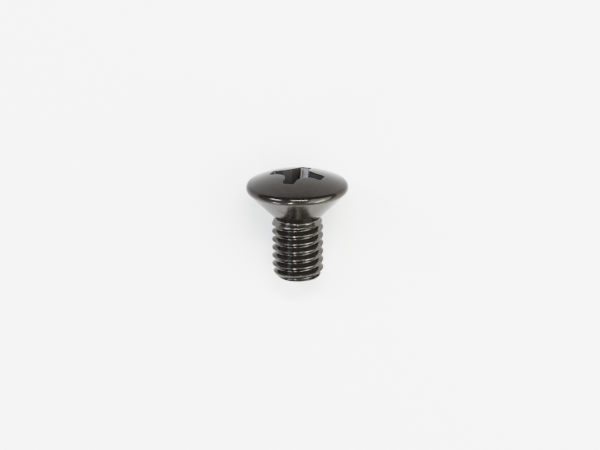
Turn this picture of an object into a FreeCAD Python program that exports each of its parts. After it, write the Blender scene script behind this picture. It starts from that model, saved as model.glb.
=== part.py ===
"""Raised countersunk machine screw with a cross recess, lying on a flat surface.

The screw is one solid. It is drawn upright about its own Z axis, with the widest circle of its
head at height 0, the crown above it and the threaded shank below. The finished body is then laid
down as a loose screw rests: on the rim of its head and on the crests at the end of its thread.
Lengths are in millimetres and angles in degrees.
"""

import FreeCAD, Part
import math
import os
import Sketcher

NODE = "screw"

# How far the cutters of the recess and the thread stand outside the metal that they cut.
CUTTER_MARGIN = 0.2

# The metric thread profile, as shares of its pitch: the depth of the groove, which is 17/24 of
# the height of the sharp 60 degree vee, and the groove's width at the crest.
THREAD_DEPTH_SHARE = math.sqrt(3) / 2 * 17 / 24
GROOVE_MOUTH_SHARE = 7 / 8
THREAD_FLANK = "tan(30 deg)"

# The facets of the recess's core end inside its wings, at this share of a wing's half width.
FACET_END_SHARE = 0.9

SIZES = [
    ("head_diameter", 9.77),
    ("crown_height", 1.47),
    ("rim_radius", 0.5),
    ("seat_half_angle", 45.0),
    ("length_below_rim", 8.8),
    ("neck_length", 0.05),
    ("neck_step", 0.3),
    ("neck_fillet", 0.25),
    ("shoulder_length", 0.3),
    ("thread_diameter", 4.9),
    ("thread_pitch", 0.8),
    ("thread_start", 0.035),
    ("point_length", 0.71),
    ("point_step", 0.42),
    ("recess_turn", 70.0),
    ("recess_depth", 3.23),
    ("recess_floor_span", 2.29),
    ("recess_floor_slope", 28.0),
    ("wing_end_slope", 26.5),
    ("wing_floor_width", 0.78),
    ("wing_draft", 2.9),
    ("core_floor_corner", 0.54),
    ("core_draft", 6.0),
    ("core_facet_angle", 25.0),
]


def tilt_onto(crest):
    """The tilt at which the screw lies on its rim and on a crest."""
    apart = f"sqrt({crest}_step ^ 2 + {crest} ^ 2)"
    return f"(atan2({crest}_step; {crest}) + asin(Sizes.rim_radius / {apart}))"


# What follows from the sizes. Heights are given as depths below the widest circle of the head.
WORKED = [
    ("head_radius", "Sizes.head_diameter / 2"),
    ("rim_centre", "head_radius - Sizes.rim_radius"),
    (
        "crown_radius",
        "(rim_centre ^ 2 + Sizes.crown_height ^ 2 - Sizes.rim_radius ^ 2)"
        " / (2 * (Sizes.crown_height - Sizes.rim_radius))",
    ),
    ("thread_radius", "Sizes.thread_diameter / 2"),
    ("neck_radius", "thread_radius - Sizes.neck_step"),
    ("point_radius", "thread_radius - Sizes.point_step"),
    ("seat_radius", "rim_centre + Sizes.rim_radius * cos(Sizes.seat_half_angle * 1 deg)"),
    ("seat_start", "Sizes.rim_radius * sin(Sizes.seat_half_angle * 1 deg)"),
    (
        "seat_end",
        "seat_start + (seat_radius - neck_radius) / tan(Sizes.seat_half_angle * 1 deg)",
    ),
    ("neck_start", "seat_end + Sizes.neck_fillet * tan(Sizes.seat_half_angle * 0.5 deg)"),
    ("neck_end", "neck_start + Sizes.neck_length"),
    # The crest stands at the thread's start over the end face on the +X side, and climbs a
    # pitch in each turn. Its groove is cut from a turn below the end face.
    ("thread_depth", f"Sizes.thread_pitch * {THREAD_DEPTH_SHARE}"),
    ("root_radius", "thread_radius - thread_depth"),
    ("groove_mouth", f"Sizes.thread_pitch * {GROOVE_MOUTH_SHARE}"),
    ("crest_flat", "Sizes.thread_pitch - groove_mouth"),
    (
        "groove_start",
        "Sizes.length_below_rim - Sizes.thread_start + Sizes.thread_pitch * 3 / 2",
    ),
    ("cutter_radius", f"thread_radius + {CUTTER_MARGIN}"),
    ("cutter_mouth", f"groove_mouth + 2 * {CUTTER_MARGIN} * {THREAD_FLANK}"),
    ("cutter_root", f"groove_mouth - 2 * thread_depth * {THREAD_FLANK}"),
    # Under the screw, a quarter turn on from +X, two crests can meet the floor: the last whole
    # one, at its lower edge, and the next one, where its upper flank meets the bevel. The screw
    # lies on its rim and on the one that touches first.
    (
        "turns_to_rest",
        "ceil((Sizes.point_length - Sizes.thread_start) / Sizes.thread_pitch - 0.25) + 0.25",
    ),
    (
        "whole_crest",
        "Sizes.length_below_rim - Sizes.thread_start"
        " - turns_to_rest * Sizes.thread_pitch + crest_flat / 2",
    ),
    ("whole_crest_step", "rim_centre - thread_radius"),
    ("bevel_start", "Sizes.length_below_rim - Sizes.point_length"),
    ("bevel_slope", "Sizes.point_step / Sizes.point_length"),
    (
        "bevel_crest",
        f"(whole_crest + groove_mouth + bevel_start * bevel_slope * {THREAD_FLANK})"
        f" / (1 + bevel_slope * {THREAD_FLANK})",
    ),
    ("bevel_crest_step", "whole_crest_step + bevel_slope * (bevel_crest - bevel_start)"),
    ("tilt", f"min({tilt_onto('whole_crest')}; {tilt_onto('bevel_crest')}) / 1 deg"),
    ("rest_height", "rim_centre * cos(tilt * 1 deg) + Sizes.rim_radius"),
    (
        "crown_reach",
        "crown_radius - (crown_radius - Sizes.crown_height) * cos(tilt * 1 deg)",
    ),
    (
        "point_reach",
        "Sizes.length_below_rim * cos(tilt * 1 deg) + point_radius * sin(tilt * 1 deg)",
    ),
    ("rest_shift", "(point_reach - crown_reach) / 2"),
    # The punch of the recess, at its tip on the axis and at its upper end above the crown.
    (
        "punch_tip",
        "Sizes.crown_height - Sizes.recess_depth"
        " - Sizes.recess_floor_span / 2 * tan(Sizes.recess_floor_slope * 1 deg)",
    ),
    ("punch_top", f"Sizes.crown_height + {CUTTER_MARGIN}"),
    ("punch_length", "punch_top - punch_tip"),
    ("depth_at_span", f"Sizes.recess_depth + {CUTTER_MARGIN}"),
    (
        "wing_top_reach",
        "Sizes.recess_floor_span / 2 + depth_at_span * tan(Sizes.wing_end_slope * 1 deg)",
    ),
    ("wing_tip_reach", "wing_top_reach - punch_length * tan(Sizes.wing_end_slope * 1 deg)"),
    ("wing_tip_half", "Sizes.wing_floor_width / 2"),
    ("wing_top_half", "wing_tip_half + punch_length * tan(Sizes.wing_draft * 1 deg)"),
    ("core_tip_corner", "Sizes.core_floor_corner"),
    ("core_top_corner", "core_tip_corner + punch_length * tan(Sizes.core_draft * 1 deg)"),
]


def add_sheets(doc):
    """One sheet of plain driving sizes, and one of the formulas that follow from them."""
    sizes = doc.addObject("Spreadsheet::Sheet", "Sizes")
    for row, (name, value) in enumerate(SIZES, start=1):
        sizes.set(f"A{row}", name)
        sizes.set(f"B{row}", str(value))
        sizes.setAlias(f"B{row}", name)
    doc.recompute()
    worked = doc.addObject("Spreadsheet::Sheet", "Worked")
    for row, (name, formula) in enumerate(WORKED, start=1):
        worked.set(f"A{row}", name)
        worked.setAlias(f"B{row}", name)
        worked.set(f"B{row}", "=" + formula)
    doc.recompute()


def value_of(doc, formula):
    """The number that a formula has with the present sizes."""
    value = doc.getObject("Sizes").evalExpression(formula)
    return float(getattr(value, "Value", value))


def origin_feature(body, role):
    for feature in body.Origin.OriginFeatures:
        if feature.Role == role:
            return feature
    raise LookupError(role)


def new_sketch(body, name, plane):
    sketch = body.newObject("Sketcher::SketchObject", name)
    sketch.AttachmentSupport = [(origin_feature(body, plane), "")]
    sketch.MapMode = "FlatFace"
    return sketch


def dimension(doc, sketch, kind, places, formula):
    """Add a dimension between places of a sketch, tied to a formula."""
    constraint = Sketcher.Constraint(kind, *places, value_of(doc, formula))
    index = sketch.addConstraint(constraint)
    sketch.setExpression(f"Constraints[{index}]", formula)


def draw_outline(doc, sketch, corners):
    """Draw a closed outline of straight sides. Each corner is two formulas, across and up."""
    points = [
        FreeCAD.Vector(value_of(doc, across), value_of(doc, up), 0) for across, up in corners
    ]
    followers = points[1:] + points[:1]
    for start, end in zip(points, followers):
        sketch.addGeometry(Part.LineSegment(start, end), False)
    for index, (across, up) in enumerate(corners):
        following = (index + 1) % len(corners)
        sketch.addConstraint(Sketcher.Constraint("Coincident", index, 2, following, 1))
        dimension(doc, sketch, "DistanceX", (-1, 1, index, 1), across)
        dimension(doc, sketch, "DistanceY", (-1, 1, index, 1), up)


def line(start, end):
    return Part.LineSegment(FreeCAD.Vector(*start, 0), FreeCAD.Vector(*end, 0))


def arc(centre, radius, first_angle, last_angle):
    circle = Part.Circle(FreeCAD.Vector(*centre, 0), FreeCAD.Vector(0, 0, 1), radius)
    return Part.ArcOfCircle(circle, math.radians(first_angle), math.radians(last_angle))


def turn_blank(doc, body):
    """The turned blank: crown, rim, conical seat, neck, shoulder, shank and bevelled point."""

    def worked(name):
        return value_of(doc, "Worked." + name)

    def size(name):
        return value_of(doc, "Sizes." + name)

    sketch = new_sketch(body, "BlankProfile", "XZ_Plane")
    neck, shank, point = worked("neck_radius"), worked("thread_radius"), worked("point_radius")
    apex, end = size("crown_height"), -size("length_below_rim")
    bevel = end + size("point_length")
    neck_start, neck_end = -worked("neck_start"), -worked("neck_end")
    shoulder = neck_end - size("shoulder_length")
    fillet = size("neck_fillet")
    fillet_centre = (neck + fillet, neck_start)
    slope = size("seat_half_angle")
    seat_foot = (
        fillet_centre[0] - fillet * math.cos(math.radians(slope)),
        fillet_centre[1] + fillet * math.sin(math.radians(slope)),
    )
    seat_top = (worked("seat_radius"), -worked("seat_start"))
    rim_centre = (worked("rim_centre"), 0)
    crown_centre = (0, apex - worked("crown_radius"))
    rim_end = math.degrees(math.atan2(-crown_centre[1], rim_centre[0]))

    outline = [
        line((0, apex), (0, end)),
        line((0, end), (point, end)),
        line((point, end), (shank, bevel)),
        line((shank, bevel), (shank, shoulder)),
        line((shank, shoulder), (neck, neck_end)),
        line((neck, neck_end), (neck, neck_start)),
        arc(fillet_centre, fillet, 180 - slope, 180),
        line(seat_foot, seat_top),
        arc(rim_centre, size("rim_radius"), -slope, rim_end),
        arc(crown_centre, worked("crown_radius"), rim_end, 90),
    ]
    (
        axis_line,
        end_line,
        bevel_line,
        shank_line,
        shoulder_line,
        neck_line,
        neck_arc,
        seat_line,
        rim_arc,
        crown_arc,
    ) = sketch.addGeometry(outline, False)
    start_point, end_point, centre_point = 1, 2, 3
    origin, across_axis, upright_axis = (-1, 1), -1, -2
    straight_chain = [axis_line, end_line, bevel_line, shank_line, shoulder_line, neck_line]
    for before, after in zip(straight_chain, straight_chain[1:]):
        sketch.addConstraint(
            Sketcher.Constraint("Coincident", before, end_point, after, start_point)
        )
    for rule in (
        ("Coincident", crown_arc, end_point, axis_line, start_point),
        ("Tangent", neck_line, end_point, neck_arc, end_point),
        ("Tangent", neck_arc, start_point, seat_line, start_point),
        ("Tangent", seat_line, end_point, rim_arc, start_point),
        ("Tangent", rim_arc, end_point, crown_arc, start_point),
        ("PointOnObject", axis_line, start_point, upright_axis),
        ("PointOnObject", axis_line, end_point, upright_axis),
        ("PointOnObject", crown_arc, centre_point, upright_axis),
        ("PointOnObject", rim_arc, centre_point, across_axis),
        ("Horizontal", end_line),
        ("Vertical", shank_line),
        ("Vertical", neck_line),
    ):
        sketch.addConstraint(Sketcher.Constraint(*rule))
    for kind, places, formula in (
        ("DistanceX", (*origin, rim_arc, centre_point), "Worked.rim_centre"),
        ("Radius", (rim_arc,), "Sizes.rim_radius"),
        ("DistanceY", (*origin, axis_line, start_point), "Sizes.crown_height"),
        ("DistanceY", (axis_line, end_point, *origin), "Sizes.length_below_rim"),
        ("DistanceX", (*origin, end_line, end_point), "Worked.point_radius"),
        ("DistanceX", (*origin, shank_line, start_point), "Worked.thread_radius"),
        ("DistanceY", (end_line, end_point, shank_line, start_point), "Sizes.point_length"),
        ("DistanceX", (*origin, neck_line, start_point), "Worked.neck_radius"),
        ("Radius", (neck_arc,), "Sizes.neck_fillet"),
        ("DistanceY", (neck_line, start_point, neck_line, end_point), "Sizes.neck_length"),
        ("DistanceY", (shank_line, end_point, neck_line, start_point), "Sizes.shoulder_length"),
        ("Angle", (seat_line,), "90 deg - Sizes.seat_half_angle * 1 deg"),
    ):
        dimension(doc, sketch, kind, places, formula)

    blank = body.newObject("PartDesign::Revolution", "Blank")
    blank.Profile = sketch
    blank.ReferenceAxis = (sketch, ["V_Axis"])
    blank.Angle = 360
    doc.recompute()


def wing_corners(level):
    """A pair of opposite wings, seen along the axis."""
    reach = f"Worked.wing_{level}_reach"
    half = f"Worked.wing_{level}_half"
    return [
        (f"-{reach}", f"-{half}"),
        (reach, f"-{half}"),
        (reach, half),
        (f"-{reach}", half),
    ]


def core_corners(level):
    """Two facets in each quarter, which meet on its diagonal and run out inside the wings."""
    corner = f"Worked.core_{level}_corner"
    half = f"{FACET_END_SHARE} * Worked.wing_{level}_half"
    foot = f"({corner} + ({corner} - {half}) / tan(Sizes.core_facet_angle * 1 deg))"
    quarter = [(foot, half), (corner, corner), (half, foot)]
    quarter_turns = [(1, 0), (0, 1), (-1, 0), (0, -1)]
    return [
        (f"{cosine} * {across} - {sine} * {up}", f"{sine} * {across} + {cosine} * {up}")
        for cosine, sine in quarter_turns
        for across, up in quarter
    ]


def loft_down(doc, body, name, corners_at):
    """A tapered block with straight walls, from above the crown to the tip of the punch."""
    sketches = []
    for level in ("top", "tip"):
        sketch = new_sketch(body, name + level.capitalize(), "XY_Plane")
        sketch.AttachmentOffset = FreeCAD.Placement(
            FreeCAD.Vector(0, 0, 0), FreeCAD.Rotation(FreeCAD.Vector(0, 0, 1), 45)
        )
        sketch.setExpression("AttachmentOffset.Base.z", f"Worked.punch_{level}")
        sketch.setExpression("AttachmentOffset.Rotation.Angle", "Sizes.recess_turn")
        draw_outline(doc, sketch, corners_at(level))
        sketches.append(sketch)
    doc.recompute()
    block = body.newObject("PartDesign::AdditiveLoft", name)
    block.Profile = sketches[0]
    block.Sections = sketches[1:]
    block.Ruled = True
    doc.recompute()
    return block


def build_punch(doc):
    """The shape of the cross recess: four wings, a faceted core and a conical floor."""
    body = doc.addObject("PartDesign::Body", "Punch")
    wings = loft_down(doc, body, "Wings", wing_corners)
    cross = body.newObject("PartDesign::PolarPattern", "Cross")
    cross.Originals = [wings]
    cross.Axis = (origin_feature(body, "Z_Axis"), [""])
    cross.Angle = 90
    cross.Occurrences = 2
    body.Tip = cross
    doc.recompute()
    loft_down(doc, body, "Core", core_corners)

    profile = new_sketch(body, "FloorProfile", "XZ_Plane")
    outside = "Worked.wing_top_reach"
    slope = "tan(Sizes.recess_floor_slope * 1 deg)"
    below = f"Worked.punch_tip - {CUTTER_MARGIN}"
    draw_outline(
        doc,
        profile,
        [
            ("0", "Worked.punch_tip"),
            ("0", below),
            (outside, below),
            (outside, f"Worked.punch_tip + {outside} * {slope}"),
        ],
    )
    floor = body.newObject("PartDesign::Groove", "Floor")
    floor.Profile = profile
    floor.ReferenceAxis = (profile, ["V_Axis"])
    floor.Angle = 360
    doc.recompute()
    return body


def cut_recess(doc, body, punch):
    recess = body.newObject("PartDesign::Boolean", "Recess")
    recess.Type = "Cut"
    recess.setObjects([punch])
    body.Tip = recess
    doc.recompute()


def cut_thread(doc, body):
    """The groove of the right-hand thread, from below the end face up to the neck."""
    profile = new_sketch(body, "GrooveProfile", "XZ_Plane")
    draw_outline(
        doc,
        profile,
        [
            ("Worked.root_radius", "-Worked.groove_start - Worked.cutter_root / 2"),
            ("Worked.cutter_radius", "-Worked.groove_start - Worked.cutter_mouth / 2"),
            ("Worked.cutter_radius", "-Worked.groove_start + Worked.cutter_mouth / 2"),
            ("Worked.root_radius", "-Worked.groove_start + Worked.cutter_root / 2"),
        ],
    )
    doc.recompute()
    groove = body.newObject("PartDesign::SubtractiveHelix", "ThreadGroove")
    groove.Profile = profile
    groove.ReferenceAxis = (profile, ["V_Axis"])
    groove.Mode = "pitch-height-angle"
    groove.LeftHanded = False
    groove.setExpression("Pitch", "Sizes.thread_pitch")
    groove.setExpression("Height", "Worked.groove_start - Worked.neck_end")
    body.Tip = groove
    doc.recompute()


def lay_down(doc, body):
    """Tip the screw over, head towards +Y, onto its rim and the end of its thread."""
    tipped = FreeCAD.Rotation(FreeCAD.Vector(-1, 0, 0), 90)
    body.Placement = FreeCAD.Placement(FreeCAD.Vector(0, 0, 0), tipped)
    body.setExpression("Placement.Rotation.Angle", "90 - Worked.tilt")
    body.setExpression("Placement.Base.y", "Worked.rest_shift")
    body.setExpression("Placement.Base.z", "Worked.rest_height")
    doc.recompute()


def build_screw(doc):
    punch = build_punch(doc)
    body = doc.addObject("PartDesign::Body", "Screw")
    body.Label = NODE
    turn_blank(doc, body)
    cut_recess(doc, body, punch)
    cut_thread(doc, body)
    lay_down(doc, body)
    return body


def check(doc, parts):
    for item in doc.Objects:
        if {"Invalid", "Error"} & set(item.State):
            raise RuntimeError(f"{item.Name} is not built: {item.State}")
    for part in parts:
        if part.Shape.isNull() or not part.Shape.isValid() or len(part.Shape.Solids) != 1:
            raise RuntimeError(f"{part.Label} is not one valid solid")


def main():
    doc = FreeCAD.newDocument("MachineScrew")
    add_sheets(doc)
    parts = [build_screw(doc)]
    check(doc, parts)
    os.makedirs("parts", exist_ok=True)
    for part in parts:
        part.Shape.exportStep(f"parts/{part.Label}.step")


main()
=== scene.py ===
"""Looks of the raised countersunk machine screw: one mesh that stands for the CAD solid, with the
same sizes, softened edges and a thread that runs out at the neck, in glossy black steel.

Lengths are in millimetres and become metres where the scene gets them. The screw is worked out
upright about its own axis, with the widest circle of its head at height 0, and is then laid down as
the CAD lays it.
"""

import math

import bpy
import numpy as np
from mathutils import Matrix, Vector


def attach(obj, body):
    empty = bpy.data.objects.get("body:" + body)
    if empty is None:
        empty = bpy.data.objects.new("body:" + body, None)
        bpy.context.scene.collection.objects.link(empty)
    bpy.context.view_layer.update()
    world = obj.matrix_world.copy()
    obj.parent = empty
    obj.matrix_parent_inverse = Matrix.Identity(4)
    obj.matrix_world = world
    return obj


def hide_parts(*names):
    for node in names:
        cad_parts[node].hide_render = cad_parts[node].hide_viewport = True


MM = 0.001

# Sizes of the CAD part.
HEAD_RADIUS = 4.885
CROWN_HEIGHT = 1.47
RIM_RADIUS = 0.5
SEAT_ANGLE = math.radians(45)
LENGTH_BELOW_RIM = 8.8
NECK_LENGTH = 0.05
NECK_STEP = 0.3
NECK_FILLET = 0.25
SHOULDER_LENGTH = 0.3
THREAD_RADIUS = 2.45
THREAD_PITCH = 0.8
THREAD_START = 0.035
POINT_LENGTH = 0.71
POINT_STEP = 0.42
RECESS_TURN = math.radians(70)
RECESS_DEPTH = 3.23
RECESS_FLOOR_SPAN = 2.29
RECESS_FLOOR_SLOPE = math.tan(math.radians(28))
WING_END_SLOPE = math.tan(math.radians(26.5))
WING_FLOOR_HALF = 0.39
WING_DRAFT = math.tan(math.radians(2.9))
CORE_FLOOR_CORNER = 0.54
CORE_DRAFT = math.tan(math.radians(6))
CORE_FACET = math.radians(25)

# Softened edges.
RECESS_EDGE = 0.1
RECESS_FOOT = 0.07
WING_CORNER = 0.22
NOSE = 0.15
FLOOR_APEX = 0.12
CREST_SOFTNESS = 0.035
SHOULDER_SOFTNESS = 0.06
ROOT_SOFTNESS = 0.07
END_EDGE = 0.05
BEVEL_FULLNESS = 0.05
RUN_OUT = 0.65
CREST_UNEVENNESS = 0.003
POINT_UNEVENNESS = 0.006

# What follows from them.
RIM_CENTRE = HEAD_RADIUS - RIM_RADIUS
CROWN_RADIUS = (RIM_CENTRE**2 + CROWN_HEIGHT**2 - RIM_RADIUS**2) / (
    2 * (CROWN_HEIGHT - RIM_RADIUS)
)
CROWN_CENTRE = CROWN_HEIGHT - CROWN_RADIUS
RIM_TOP_ANGLE = math.atan2(-CROWN_CENTRE, RIM_CENTRE)
RIM_TOP = RIM_RADIUS * math.sin(RIM_TOP_ANGLE)
NECK_RADIUS = THREAD_RADIUS - NECK_STEP
SEAT_RADIUS = RIM_CENTRE + RIM_RADIUS * math.cos(SEAT_ANGLE)
SEAT_TOP = -RIM_RADIUS * math.sin(SEAT_ANGLE)
NECK_TOP = SEAT_TOP - (SEAT_RADIUS - NECK_RADIUS) - NECK_FILLET * math.tan(SEAT_ANGLE / 2)
NECK_END = NECK_TOP - NECK_LENGTH
END = -LENGTH_BELOW_RIM
END_EDGE_TOP = END + END_EDGE
BEVEL_SLOPE = POINT_STEP / POINT_LENGTH
BEVEL_START = END + POINT_LENGTH
CREST_FLAT = THREAD_PITCH / 8
FLANK = math.tan(math.radians(30))
THREAD_DEPTH = math.sqrt(3) / 2 * 17 / 24 * THREAD_PITCH
PUNCH_TIP = CROWN_HEIGHT - RECESS_DEPTH - RECESS_FLOOR_SPAN / 2 * RECESS_FLOOR_SLOPE
WING_TIP_REACH = RECESS_FLOOR_SPAN / 2 * (1 - RECESS_FLOOR_SLOPE * WING_END_SLOPE)

# The way from the thread's start to the screw's underside, in turns.
UNDERSIDE_TURN = 0.25

# Steps along the recess's outline, from the middle of a wing's end to the nose between two wings.
# Eight such stretches go round, and each of their points begins a column of the mesh.
END_WALL_STEPS = 9
WING_CORNER_STEPS = 5
FLANK_STEPS = 14
KNEE_STEPS = 4
FACET_STEPS = 9
NOSE_STEPS = 8
STRETCHES = 8
COLUMNS = STRETCHES * (
    END_WALL_STEPS + WING_CORNER_STEPS + FLANK_STEPS + KNEE_STEPS + FACET_STEPS + NOSE_STEPS // 2
)

# How finely the columns are divided. Rows are shares of the way across their surface, and those of
# the thread are shares of the way from a crest to the middle of the groove.
FLOOR_ROWS = (0.05, 0.12, 0.2, 0.3, 0.42, 0.56, 0.72, 0.88, 1.0)
FOOT_STEPS = 4
WALL_ROWS = 9
LIP_STEPS = 7
CROWN_ROWS = (0.04, 0.1, 0.18, 0.27, 0.37, 0.48, 0.59, 0.7, 0.8, 0.89, 0.96, 1.0)
RIM_STEPS = 14
SEAT_STEPS = 8
FILLET_STEPS = 5
THREAD_ROWS = (0, 0.075, 0.125, 0.175, 0.25, 0.4, 0.55, 0.675, 0.75, 0.825, 0.9, 1)
END_EDGE_STEPS = 4
END_ROWS = (0.93, 0.84, 0.72, 0.58, 0.43, 0.28, 0.14, 0.05)

# Rows of the thread that come this near to the neck or to the end's edge join the ring there.
RING_REACH = 0.008

# Rounds that settle where the recess's walls meet the crown and the floor.
SETTLING_ROUNDS = 40

# How far to each side the shank's radius is compared for its normals.
NORMAL_STEP = 1e-4

# The steel's surface, and a painted shade on the crown. Each pair of tones or of roughnesses is
# mixed by a noise, and a noise is given by its scale and its detail.
PLAIN_TONES = ((0.086, 0.082, 0.077, 1), (0.061, 0.057, 0.051, 1))
# Painted shade: a darker copy of the plain tones for the crown and upper rim, in place of the darker
# reflection they get.
CROWN_SHADE_TONES = ((0.029, 0.027, 0.0245, 1), (0.021, 0.019, 0.0165, 1))
HOLLOW_TONE = (0.058, 0.056, 0.055, 1)
SMUDGE_TONE = (0.04, 0.03, 0.022, 1)
GRAZING_TONE = (0.67, 0.67, 0.67, 1)
METALLIC = 0.75
HOLLOW_METALLIC = 0.4
ROUGHNESSES = (0.1, 0.2)
HOLLOW_ROUGHNESS = 0.36
STAIN = (1400, 3)
BLOTCHES = (900, 3)
GRAIN = (5200, 4)
GRAIN_STRENGTH = 0.25
GRAIN_DEPTH = 0.01

# Places of a mixing node's two inputs and of its output, for each kind of value.
MIX_SOCKETS = {"FLOAT": (2, 3, 0), "RGBA": (6, 7, 2)}

# A brown mark on the seat: the two places in the frame that it joins, how far it reaches from
# them, the shares of that reach over which it fades, and the noise of its ragged edge.
SMUDGE_SPOTS = ((-1.4, 1.2, 7.53), (-1.7, 1.36, 7.66))
SMUDGE_REACH = 0.24
SMUDGE_FADE = (0.9, 1.6)
SMUDGE_GRAIN = (5000, 3)

# The camera looks down. It leans towards the head and rolls about its own axis, in degrees.
CAMERA_SENSOR = 36.0
CAMERA_DISTANCE = 600.0
CAMERA_LEAN = 1.2
CAMERA_ROLL = -0.5
CAMERA_AIM = (0.234, -0.046, 4.68)
CAMERA_NEAR = 10
CAMERA_FAR = 10000
FRAME_WIDTH = 56.9

FLOOR_HALF = 600
FLOOR_ALBEDO = 0.82
FLOOR_ROUGHNESS = 0.9
FLOOR_BRIGHTNESS = 2.6
SKY_COLOUR = (1.0, 1.0, 1.0, 1)
SKY_BRIGHTNESS = 0.8

# Each lamp has a name, an azimuth from +X towards +Y and an elevation in degrees, a size across and
# up, the share of the floor's brightness that it gives, and a colour.
LAMP_DISTANCE = 150
LAMPS = (
    ("top_bar", 80, 66, (80, 12), 0.23, (1.0, 1.0, 1.0)),
    ("right_box", -24, 33, (100, 20), 0.05, (1.0, 1.0, 0.96)),
    ("right_wall", -4, 40, (200, 140), 0.26, (1.0, 1.0, 0.97)),
    ("left_window", 154, 42, (35, 60), 0.13, (0.85, 0.9, 1.0)),
    ("left_lamp", 225, 20, (40, 20), 0.02, (0.85, 0.9, 1.0)),
    ("front_lamp", 248, 51, (10, 50), 0.065, (1.0, 0.96, 0.87)),
)


def unit(vectors):
    return vectors / np.linalg.norm(vectors, axis=-1, keepdims=True)


def blend(first, second, share):
    return first * (1 - share) + second * share


def smooth_min(a, b, softness):
    share = np.clip(0.5 + 0.5 * (b - a) / softness, 0, 1)
    return b * (1 - share) + a * share - softness * share * (1 - share)


def smooth_step(x):
    x = np.clip(x, 0, 1)
    return x * x * (3 - 2 * x)


def turned(points, angle):
    """Points or vectors turned about the screw's axis."""
    cosine, sine = math.cos(angle), math.sin(angle)
    x, y = points[:, 0], points[:, 1]
    around = np.stack([x * cosine - y * sine, x * sine + y * cosine], axis=-1)
    return np.concatenate([around, points[:, 2:]], axis=1)


def resting_place():
    """The tilt of the screw's axis and where the centre of its widest circle is. It lies on its
    rim and on the crest that touches first, the last whole one or the one on the bevel."""
    point_turns = (POINT_LENGTH - THREAD_START) / THREAD_PITCH
    turns = math.ceil(point_turns - UNDERSIDE_TURN) + UNDERSIDE_TURN
    whole = LENGTH_BELOW_RIM - THREAD_START - turns * THREAD_PITCH + CREST_FLAT / 2
    step = RIM_CENTRE - THREAD_RADIUS
    lean = BEVEL_SLOPE * FLANK
    bevel = (whole + THREAD_PITCH - CREST_FLAT - BEVEL_START * lean) / (1 + lean)
    bevel_step = step + BEVEL_SLOPE * (bevel + BEVEL_START)
    tilt = min(
        math.atan2(aside, along) + math.asin(RIM_RADIUS / math.hypot(aside, along))
        for aside, along in ((step, whole), (bevel_step, bevel))
    )
    height = RIM_CENTRE * math.cos(tilt) + RIM_RADIUS
    crown_reach = CROWN_RADIUS + CROWN_CENTRE * math.cos(tilt)
    point_radius = THREAD_RADIUS - POINT_STEP
    point_reach = LENGTH_BELOW_RIM * math.cos(tilt) + point_radius * math.sin(tilt)
    return tilt, (0, (point_reach - crown_reach) / 2, height)


def lay_down(vectors, tilt):
    """Turn upright vectors to how the screw lies, head towards +Y."""
    x, y, z = vectors.T
    along = y * math.sin(tilt) + z * math.cos(tilt)
    up = z * math.sin(tilt) - y * math.cos(tilt)
    return np.stack([x, along, up], axis=-1)


# The recess


def rounded_corner(corner, way_in, way_out, radius, steps):
    """Points of the arc that rounds a corner of an outline."""
    cross = way_in[0] * way_out[1] - way_in[1] * way_out[0]
    turn = math.atan2(cross, np.dot(way_in, way_out))
    start = corner - way_in * radius * math.tan(abs(turn) / 2)
    side = math.copysign(radius, turn) * np.array([-way_in[1], way_in[0]])
    centre = start + side
    arm = (start - centre)[None, :]
    return [centre + turned(arm, angle)[0] for angle in np.linspace(0, turn, steps + 1)]


def between(start, end, steps):
    """Points that divide a straight stretch, without its ends."""
    return [blend(start, end, step / steps) for step in range(1, steps)]


def recess_outline(height):
    """The recess's outline at a height, one point for each column, before it is turned. The
    stretch from the middle of a wing's end to the nose beside it is mirrored to a quarter."""
    up = height - PUNCH_TIP
    reach = WING_TIP_REACH + up * WING_END_SLOPE
    half = WING_FLOOR_HALF + up * WING_DRAFT
    core = CORE_FLOOR_CORNER + up * CORE_DRAFT
    junction = core + (core - half) / math.tan(CORE_FACET)

    facet = np.array([-math.cos(CORE_FACET), math.sin(CORE_FACET)])
    next_facet = np.array([-math.sin(CORE_FACET), math.cos(CORE_FACET)])
    end_way, flank_way = np.array([0.0, 1.0]), np.array([-1.0, 0.0])
    wing_corner = np.array([reach, half])
    tip = rounded_corner(wing_corner, end_way, flank_way, WING_CORNER, WING_CORNER_STEPS)
    knee = rounded_corner(np.array([junction, half]), flank_way, facet, NOSE, KNEE_STEPS)
    nose = rounded_corner(np.array([core, core]), facet, next_facet, NOSE, NOSE_STEPS)
    nose = nose[: NOSE_STEPS // 2 + 1]

    middle = np.array([reach, 0.0])
    stretch = [middle, *between(middle, tip[0], END_WALL_STEPS), *tip]
    stretch += [*between(tip[-1], knee[0], FLANK_STEPS), *knee]
    stretch += [*between(knee[-1], nose[0], FACET_STEPS), *nose]
    stretch = np.array(stretch)
    mirrored = stretch[:0:-1] * [1, -1]
    quarter = np.concatenate([mirrored, stretch[:-1]])
    return np.concatenate([turned(quarter, n * math.pi / 2) for n in range(4)])


def crown_point(radius, angle):
    height = CROWN_CENTRE + np.sqrt(CROWN_RADIUS**2 - radius**2)
    return np.stack([radius * np.cos(angle), radius * np.sin(angle), height], axis=-1)


def crown_normal(points):
    return unit(points - [0, 0, CROWN_CENTRE])


def floor_height(radius):
    """Height of the recess's floor, a cone with a rounded apex."""
    return PUNCH_TIP + RECESS_FLOOR_SLOPE * np.sqrt(radius**2 + FLOOR_APEX**2)


def on_floor(points):
    """Points moved along the axis onto the recess's floor, with the floor's normals there."""
    across = points[:, :2]
    radius = np.linalg.norm(across, axis=1)
    slope = RECESS_FLOOR_SLOPE / np.sqrt(radius**2 + FLOOR_APEX**2)
    normals = np.column_stack([-across * slope[:, None], np.ones(len(points))])
    return np.column_stack([across, floor_height(radius)]), unit(normals)


def bend_rows(start, corner, end, start_normal, end_normal, steps):
    """Rows of a rounded edge between two surfaces, without its ends."""
    rows = []
    for step in range(1, steps):
        share = step / steps
        points = blend(blend(start, corner, share), blend(corner, end, share), share)
        rows.append((points, unit(blend(start_normal, end_normal, share))))
    return rows


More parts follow.
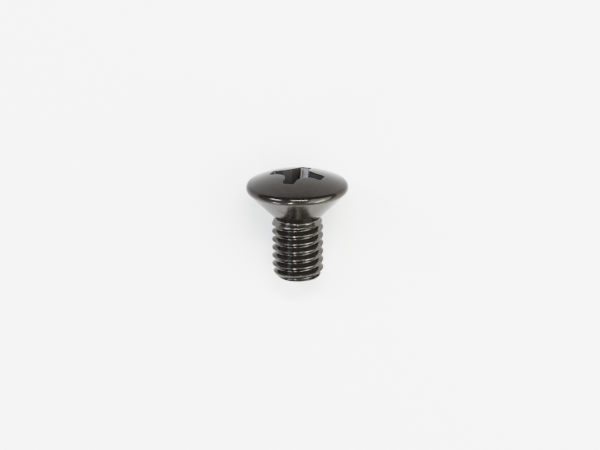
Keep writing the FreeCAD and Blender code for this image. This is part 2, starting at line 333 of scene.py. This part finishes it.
def along_row(row):
    """The way along a closed row at each of its points."""
    return unit(np.roll(row, -1, 0) - np.roll(row, 1, 0))


def recess_walls():
    """Where the walls meet the crown and the floor, and the walls' way up and normals."""
    low = recess_outline(0.0)
    lean = recess_outline(1.0) - low

    def wall(heights):
        return np.column_stack([low + lean * heights[:, None], heights])

    top, foot = np.full(COLUMNS, CROWN_HEIGHT), np.full(COLUMNS, PUNCH_TIP)
    for _ in range(SETTLING_ROUNDS):
        top = CROWN_CENTRE + np.sqrt(CROWN_RADIUS**2 - (wall(top)[:, :2] ** 2).sum(1))
        foot = floor_height(np.linalg.norm(wall(foot)[:, :2], axis=1))
    edge, base = wall(top), wall(foot)
    upward = unit(np.column_stack([lean, np.ones(COLUMNS)]))
    normals = unit(np.cross(upward, along_row(wall(np.zeros(COLUMNS)))))
    normals *= -np.sign((normals[:, :2] * edge[:, :2]).sum(1))[:, None]
    return edge, base, upward, normals


def recess_rows():
    """Rows of points and normals from the recess's floor out to the edge on the crown."""
    edge, base, upward, wall_normal = recess_walls()
    outward = unit(np.cross(along_row(edge), crown_normal(edge)))
    brink = crown_normal(edge + outward * RECESS_EDGE) * CROWN_RADIUS + [0, 0, CROWN_CENTRE]
    lip = edge - upward * RECESS_EDGE
    heel = base + upward * RECESS_FOOT
    radius = np.linalg.norm(base[:, :2], axis=1, keepdims=True)
    inner, inner_normal = on_floor(base * (1 - RECESS_FOOT / radius))

    rows = [on_floor(inner * share) for share in FLOOR_ROWS]
    rows += bend_rows(inner, base, heel, inner_normal, wall_normal, FOOT_STEPS)
    for share in np.linspace(0, 1, WALL_ROWS):
        rows.append((blend(heel, lip, share), wall_normal))
    rows += bend_rows(lip, edge, brink, wall_normal, crown_normal(brink), LIP_STEPS)
    rows.append((brink, crown_normal(brink)))
    return [(turned(points, RECESS_TURN), turned(normals, RECESS_TURN)) for points, normals in rows]


# The head, the neck and the end


def ring(angles, radius, height, out, up):
    """A row of a turned surface: its points and normals."""
    cosine, sine, one = np.cos(angles), np.sin(angles), np.ones(len(angles))
    points = np.stack([radius * cosine, radius * sine, height * one], axis=-1)
    normals = np.stack([out * cosine, out * sine, up * one], axis=-1)
    return points, unit(normals)


def crown_rows(angles, brink):
    """Rows over the crown, from the recess's edge to the rim, that turn into the columns."""
    start = np.hypot(brink[:, 0], brink[:, 1])
    heading = np.arctan2(brink[:, 1], brink[:, 0])
    heading = angles + (heading - angles + math.pi) % (2 * math.pi) - math.pi
    last = RIM_CENTRE + RIM_RADIUS * math.cos(RIM_TOP_ANGLE)
    rows = []
    for share in CROWN_ROWS:
        points = crown_point(blend(start, last, share), blend(heading, angles, share))
        rows.append((points, crown_normal(points)))
    return rows


def rim_and_seat_rows(angles):
    """Rows over the rim and down the seat and its fillet to the neck."""
    rows = []
    for angle in np.linspace(RIM_TOP_ANGLE, -SEAT_ANGLE, RIM_STEPS + 1)[1:]:
        out, up = math.cos(angle), math.sin(angle)
        rows.append(ring(angles, RIM_CENTRE + RIM_RADIUS * out, RIM_RADIUS * up, out, up))
    seat_out, seat_up = math.cos(SEAT_ANGLE), -math.sin(SEAT_ANGLE)
    fillet_centre = NECK_RADIUS + NECK_FILLET
    foot_radius = fillet_centre - NECK_FILLET * seat_out
    foot_height = NECK_TOP - NECK_FILLET * seat_up
    for share in np.linspace(0, 1, SEAT_STEPS + 1)[1:]:
        radius = blend(SEAT_RADIUS, foot_radius, share)
        rows.append(ring(angles, radius, blend(SEAT_TOP, foot_height, share), seat_out, seat_up))
    for angle in np.linspace(SEAT_ANGLE, 0, FILLET_STEPS + 1)[1:]:
        out, up = math.cos(angle), -math.sin(angle)
        radius = fillet_centre - NECK_FILLET * out
        rows.append(ring(angles, radius, NECK_TOP - NECK_FILLET * up, out, up))
    return rows


def end_rows(angles):
    """Rows of the point's rounded edge and of its flat end, in towards the axis."""
    edge_row = shank_vertices(angles, np.full(COLUMNS, END_EDGE_TOP))
    radius = np.hypot(edge_row[0][:, 0], edge_row[0][:, 1])
    rows = [edge_row]
    for angle in np.linspace(0, math.pi / 2, END_EDGE_STEPS + 1)[1:]:
        out, up = math.cos(angle), -math.sin(angle)
        height = END_EDGE_TOP + END_EDGE * up
        rows.append(ring(angles, radius - END_EDGE * (1 - out), height, out, up))
    for share in END_ROWS:
        rows.append(ring(angles, (radius - END_EDGE) * share, END, 0, -1))
    return rows


# The thread


def waves(seed, count, longest, shortest):
    """A smooth uneven function of the place round the shank and along it, from -1 to 1 or so."""
    draw = np.random.default_rng(seed)
    spans = np.exp(draw.uniform(math.log(shortest), math.log(longest), count))
    ways = draw.uniform(0, 2 * math.pi, count)
    starts = draw.uniform(0, 2 * math.pi, count)

    def value(angle, height):
        total = 0
        for span, way, start in zip(spans, ways, starts):
            around = round(2 * math.pi * THREAD_RADIUS / span * math.cos(way))
            along = 2 * math.pi / span * math.sin(way)
            total = total + np.sin(around * angle + along * height + start)
        return total / math.sqrt(count)

    return value


UNEVENNESS = waves(seed=11, count=14, longest=2.4, shortest=0.5)


def blank_radius(angle, height):
    """The shank's radius before the thread: shouldered at the neck and bevelled at the point."""
    past_bevel = BEVEL_START - height
    bevel = THREAD_RADIUS - BEVEL_SLOPE * past_bevel
    bevel = bevel + BEVEL_FULLNESS * smooth_step(past_bevel / POINT_LENGTH)
    shoulder = NECK_RADIUS + NECK_STEP / SHOULDER_LENGTH * (NECK_END - height)
    shoulder = np.maximum(shoulder, NECK_RADIUS)
    blank = smooth_min(np.full(np.shape(height), THREAD_RADIUS), bevel, CREST_SOFTNESS)
    blank = smooth_min(blank, shoulder, SHOULDER_SOFTNESS)
    uneven = CREST_UNEVENNESS * smooth_step((NECK_END - height) / RUN_OUT)
    uneven = uneven + POINT_UNEVENNESS * smooth_step(past_bevel / RUN_OUT)
    return blank + uneven * UNEVENNESS(angle, height)


def shank_radius(angle, height):
    """The shank's radius with the groove rolled into it."""
    phase = (height - END - THREAD_START) / THREAD_PITCH - angle / (2 * math.pi)
    from_crest = THREAD_PITCH * np.abs(phase - np.round(phase))
    depth = (from_crest - CREST_FLAT / 2) / FLANK
    depth = smooth_min(depth, np.full(np.shape(depth), THREAD_DEPTH), ROOT_SOFTNESS)
    run_out = smooth_step((NECK_TOP - height) / RUN_OUT)
    return smooth_min(blank_radius(angle, height), THREAD_RADIUS - depth * run_out, CREST_SOFTNESS)


def shank_vertices(angles, heights):
    """Points and normals of the shank, the normals from the radius's slopes."""
    radius = shank_radius(angles, heights)
    ahead, behind = angles + NORMAL_STEP, angles - NORMAL_STEP
    above, below = heights + NORMAL_STEP, heights - NORMAL_STEP
    along = (shank_radius(angles, above) - shank_radius(angles, below)) / (2 * NORMAL_STEP)
    around = (shank_radius(ahead, heights) - shank_radius(behind, heights)) / (2 * NORMAL_STEP)
    around = around / radius
    cosine, sine = np.cos(angles), np.sin(angles)
    points = np.stack([radius * cosine, radius * sine, heights], axis=-1)
    normals = np.stack([cosine + around * sine, sine - around * cosine, -along], axis=-1)
    return points, unit(normals)


def thread_heights(angles):
    """Heights of the thread's rows, which climb with the helix and go past both its ends."""
    to_groove = [share * THREAD_PITCH / 2 for share in THREAD_ROWS]
    offsets = np.array([-x for x in to_groove[-2:0:-1]] + to_groove)
    climb = THREAD_PITCH * angles / (2 * math.pi)
    first_crest = END + THREAD_START + climb[0]
    low = math.floor((END_EDGE_TOP - first_crest) / THREAD_PITCH) - 2
    high = math.ceil((NECK_TOP - first_crest) / THREAD_PITCH) + 1
    rises = np.concatenate([offsets + THREAD_PITCH * n for n in range(low, high + 1)])
    return END + THREAD_START + rises[:, None] + climb[None, :], len(offsets)


def thread_mesh(angles, first_index, top_ring, bottom_ring):
    """Points, normals and quads of the thread. Its rows climb with the helix, so a row's last
    point joins the first one of the row a pitch on. Where rows pass the neck or the end, they
    fall together on the rings there."""
    heights, rows_in_pitch = thread_heights(angles)
    is_top = heights > NECK_TOP - RING_REACH
    is_bottom = heights < END_EDGE_TOP + RING_REACH
    own = ~(is_top | is_bottom)
    index = np.full(heights.shape, -1)
    index[own] = first_index + np.arange(own.sum())
    column = np.broadcast_to(np.arange(COLUMNS), heights.shape)
    index = np.where(is_top, top_ring + column, index)
    index = np.where(is_bottom, bottom_ring + column, index)
    past_top = np.full((rows_in_pitch, 1), top_ring)
    pitch_on = np.concatenate([index[rows_in_pitch:, :1], past_top])
    index = np.concatenate([index, pitch_on], axis=1)

    quads = np.stack([index[:-1, :-1], index[:-1, 1:], index[1:, 1:], index[1:, :-1]], axis=-1)
    around = np.broadcast_to(angles, heights.shape)
    points, normals = shank_vertices(around[own], heights[own])
    return points, normals, quads.reshape(-1, 4)


# The whole mesh


def rows_quads(first, rows):
    """Quads between rows of columns that close on themselves."""
    column = np.arange(COLUMNS)
    following = np.roll(column, -1)
    quads = []
    for row in range(rows - 1):
        a, b = first + row * COLUMNS, first + (row + 1) * COLUMNS
        quads.append(np.stack([a + column, b + column, b + following, a + following], axis=-1))
    return np.concatenate(quads)


def fan(centre, first, looks_up):
    """Triangles from a centre to a row."""
    column = first + np.arange(COLUMNS)
    following = np.roll(column, -1)
    middle = np.full(COLUMNS, centre)
    order = [middle, column, following] if looks_up else [middle, following, column]
    return np.stack(order, axis=-1).tolist()


def sound_faces(quads):
    """Drop the corners that fall together, and the faces that this leaves with no area."""
    faces = []
    for quad in quads.tolist():
        face = [corner for n, corner in enumerate(quad) if corner != quad[n - 1]]
        if len(set(face)) == len(face) >= 3:
            faces.append(face)
    return faces


def screw_mesh():
    """Points, normals and faces of the upright screw, and shares for the duller recess and the
    crown's painted shade.
    """
    first_nose = RECESS_TURN - math.pi / 4
    angles = first_nose + 2 * math.pi * np.arange(COLUMNS) / COLUMNS
    recess = recess_rows()
    top = recess + crown_rows(angles, recess[-1][0]) + rim_and_seat_rows(angles)
    end = end_rows(angles)
    top_ring, bottom_ring = (len(top) - 1) * COLUMNS, len(top) * COLUMNS
    thread_first = bottom_ring + len(end) * COLUMNS
    *thread, thread_quads = thread_mesh(angles, thread_first, top_ring, bottom_ring)
    recess_centre = thread_first + len(thread[0])
    end_centre = recess_centre + 1
    centres = ([[0, 0, floor_height(0.0)], [0, 0, END]], [[0, 0, 1.0], [0, 0, -1.0]])
    points, normals = map(np.concatenate, zip(*top, *end, thread, centres))

    quads = [rows_quads(0, len(top)), rows_quads(bottom_ring, len(end)), thread_quads]
    faces = sound_faces(np.concatenate(quads))
    faces += fan(recess_centre, 0, True)
    faces += fan(end_centre, thread_first - COLUMNS, False)

    hollow = np.zeros(len(points))
    hollow[: (len(recess) - LIP_STEPS) * COLUMNS] = 1
    hollow[recess_centre] = 1
    # Painted shade on the crown, fading out down the rim to the seat and left out of the recess: it
    # darkens the tones there in place of a darker reflection.
    crown = smooth_step((points[:, 2] - SEAT_TOP) / (RIM_TOP - SEAT_TOP)) * (1 - hollow)
    return points, normals, faces, {"hollow": hollow, "crown": crown}


def build_screw():
    tilt, place = resting_place()
    points, normals, faces, finish_and_shade = screw_mesh()
    points = (lay_down(points, tilt) + place) * MM
    normals = lay_down(normals, tilt)
    mesh = bpy.data.meshes.new("oval_head_screw")
    mesh.from_pydata(points.tolist(), [], faces)
    mesh.polygons.foreach_set("use_smooth", [True] * len(mesh.polygons))
    mesh.normals_split_custom_set_from_vertices(normals.tolist())
    # Shares for the duller recess and for the crown's painted shade.
    for name, share in finish_and_shade.items():
        attribute = mesh.attributes.new(name, "FLOAT", "POINT")
        attribute.data.foreach_set("value", share.tolist())
    mesh.update()
    screw = bpy.data.objects.new("oval_head_screw", mesh)
    bpy.context.scene.collection.objects.link(screw)
    return screw


# Materials


def new_material(name):
    """A new material, its node tree and its shader."""
    material = bpy.data.materials.new(name)
    material.use_nodes = True
    tree = material.node_tree
    return material, tree, tree.nodes["Principled BSDF"]


def feed(tree, socket, value):
    """Give an input a plain value, or link another node's output to it."""
    if isinstance(value, bpy.types.NodeSocket):
        tree.links.new(value, socket)
    else:
        socket.default_value = value


def mix_by(tree, share, kind, low, high):
    """A mix of two values or colours by a share that comes from another node."""
    mix = tree.nodes.new("ShaderNodeMix")
    mix.data_type = kind
    first, second, result = MIX_SOCKETS[kind]
    feed(tree, mix.inputs[first], low)
    feed(tree, mix.inputs[second], high)
    tree.links.new(share, mix.inputs["Factor"])
    return mix.outputs[result]


def math_node(tree, operation, *values):
    """One step of arithmetic on values or on the outputs of other nodes."""
    node = tree.nodes.new("ShaderNodeMath")
    node.operation = operation
    for socket, value in zip(node.inputs, values):
        feed(tree, socket, value)
    return node.outputs["Value"]


def noise(tree, place, scale, detail):
    texture = tree.nodes.new("ShaderNodeTexNoise")
    texture.inputs["Scale"].default_value = scale
    texture.inputs["Detail"].default_value = detail
    tree.links.new(place, texture.inputs["Vector"])
    return texture.outputs["Fac"]


def distance_to(tree, place, spot):
    away = tree.nodes.new("ShaderNodeVectorMath")
    away.operation = "DISTANCE"
    tree.links.new(place, away.inputs[0])
    away.inputs[1].default_value = [MM * x for x in spot]
    return away.outputs["Value"]


def smudge(tree, place):
    """A share that is 1 in a small uneven mark on the seat and 0 elsewhere."""
    first, second = [distance_to(tree, place, spot) for spot in SMUDGE_SPOTS]
    nearest = math_node(tree, "MINIMUM", first, second)
    grain = noise(tree, place, *SMUDGE_GRAIN)
    ragged = math_node(tree, "MULTIPLY_ADD", grain, SMUDGE_REACH * MM, nearest)
    fade = tree.nodes.new("ShaderNodeMapRange")
    tree.links.new(ragged, fade.inputs["Value"])
    fade.inputs["From Min"].default_value = SMUDGE_FADE[0] * SMUDGE_REACH * MM
    fade.inputs["From Max"].default_value = SMUDGE_FADE[1] * SMUDGE_REACH * MM
    fade.inputs["To Min"].default_value = 1
    fade.inputs["To Max"].default_value = 0
    return fade.outputs["Result"]


def share_of(tree, name):
    """The share at a point of the mesh of the duller recess or of the crown's painted shade."""
    reader = tree.nodes.new("ShaderNodeAttribute")
    reader.attribute_name = name
    return reader.outputs["Fac"]


def black_steel():
    """Glossy black steel, duller in the recess, with the seat's smudge and a painted shade on the
    crown.
    """
    material, tree, shader = new_material("black_steel")
    place = tree.nodes.new("ShaderNodeTexCoord").outputs["Object"]
    crown, hollow = share_of(tree, "crown"), share_of(tree, "hollow")

    stain = noise(tree, place, *STAIN)
    plain = mix_by(tree, stain, "RGBA", *PLAIN_TONES)
    # Painted shade: the crown and upper rim take the darker copy of the plain tones.
    shaded_crown_tone = mix_by(tree, stain, "RGBA", *CROWN_SHADE_TONES)
    outside = mix_by(tree, crown, "RGBA", plain, shaded_crown_tone)
    outside = mix_by(tree, smudge(tree, place), "RGBA", outside, SMUDGE_TONE)
    colour = mix_by(tree, hollow, "RGBA", outside, HOLLOW_TONE)
    metallic = mix_by(tree, hollow, "FLOAT", METALLIC, HOLLOW_METALLIC)
    sheen = mix_by(tree, noise(tree, place, *BLOTCHES), "FLOAT", *ROUGHNESSES)
    roughness = mix_by(tree, hollow, "FLOAT", sheen, HOLLOW_ROUGHNESS)
    bump = tree.nodes.new("ShaderNodeBump")
    bump.inputs["Strength"].default_value = GRAIN_STRENGTH
    bump.inputs["Distance"].default_value = GRAIN_DEPTH * MM
    tree.links.new(noise(tree, place, *GRAIN), bump.inputs["Height"])

    tree.links.new(colour, shader.inputs["Base Color"])
    tree.links.new(metallic, shader.inputs["Metallic"])
    tree.links.new(roughness, shader.inputs["Roughness"])
    tree.links.new(bump.outputs["Normal"], shader.inputs["Normal"])
    shader.inputs["Specular Tint"].default_value = GRAZING_TONE
    return material


# The floor, the light and the camera


def pale_floor():
    half = FLOOR_HALF * MM
    mesh = bpy.data.meshes.new("floor")
    corners = [(-half, -half, 0), (half, -half, 0), (half, half, 0), (-half, half, 0)]
    mesh.from_pydata(corners, [], [(0, 1, 2, 3)])
    floor = bpy.data.objects.new("floor", mesh)
    bpy.context.scene.collection.objects.link(floor)
    material, _, shader = new_material("pale_floor")
    shader.inputs["Base Color"].default_value = (FLOOR_ALBEDO, FLOOR_ALBEDO, FLOOR_ALBEDO, 1)
    shader.inputs["Roughness"].default_value = FLOOR_ROUGHNESS
    mesh.materials.append(material)
    return floor


def soft_light(name, azimuth, elevation, size, share, colour):
    """A rectangular lamp aimed at the screw. Its power gives the floor the share asked for."""
    azimuth, elevation = math.radians(azimuth), math.radians(elevation)
    flat, up = math.cos(elevation), math.sin(elevation)
    away = Vector((flat * math.cos(azimuth), flat * math.sin(azimuth), up))
    distance = LAMP_DISTANCE * MM
    light = bpy.data.lights.new(name, "AREA")
    light.shape = "RECTANGLE"
    light.size, light.size_y = [side * MM for side in size]
    light.energy = share * FLOOR_BRIGHTNESS * (math.pi * distance) ** 2 / (FLOOR_ALBEDO * up)
    light.color = colour
    lamp = bpy.data.objects.new(name, light)
    lamp.location = away * distance
    lamp.rotation_euler = away.to_track_quat("Z", "Y").to_euler()
    bpy.context.scene.collection.objects.link(lamp)


def light_scene():
    world = bpy.data.worlds.new("studio")
    world.use_nodes = True
    background = world.node_tree.nodes["Background"]
    background.inputs["Color"].default_value = SKY_COLOUR
    background.inputs["Strength"].default_value = SKY_BRIGHTNESS
    bpy.context.scene.world = world
    for lamp in LAMPS:
        soft_light(*lamp)
    view = bpy.context.scene.view_settings
    view.view_transform = "Filmic"
    view.look = "Very High Contrast"


def place_camera():
    """Far above the screw and a little beyond its head, so that it looks almost straight down."""
    camera = bpy.data.cameras.new("camera")
    camera.sensor_width = CAMERA_SENSOR
    camera.lens = CAMERA_SENSOR * CAMERA_DISTANCE / FRAME_WIDTH
    camera.clip_start = CAMERA_NEAR * MM
    camera.clip_end = CAMERA_FAR * MM
    eye = bpy.data.objects.new("camera", camera)
    eye.rotation_euler = (math.radians(-CAMERA_LEAN), 0, math.radians(CAMERA_ROLL))
    away = eye.rotation_euler.to_matrix() @ Vector((0, 0, CAMERA_DISTANCE))
    eye.location = (Vector(CAMERA_AIM) + away) * MM
    bpy.context.scene.collection.objects.link(eye)
    bpy.context.scene.camera = eye


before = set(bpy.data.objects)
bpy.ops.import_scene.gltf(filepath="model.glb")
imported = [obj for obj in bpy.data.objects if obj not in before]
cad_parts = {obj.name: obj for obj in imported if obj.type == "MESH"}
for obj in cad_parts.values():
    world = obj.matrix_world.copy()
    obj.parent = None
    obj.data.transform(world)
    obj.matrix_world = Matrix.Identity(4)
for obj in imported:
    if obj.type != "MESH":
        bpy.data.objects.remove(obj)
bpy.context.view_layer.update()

screw = build_screw()
screw.data.materials.append(black_steel())
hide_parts("screw")
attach(screw, "root")

pale_floor()
light_scene()
place_camera()
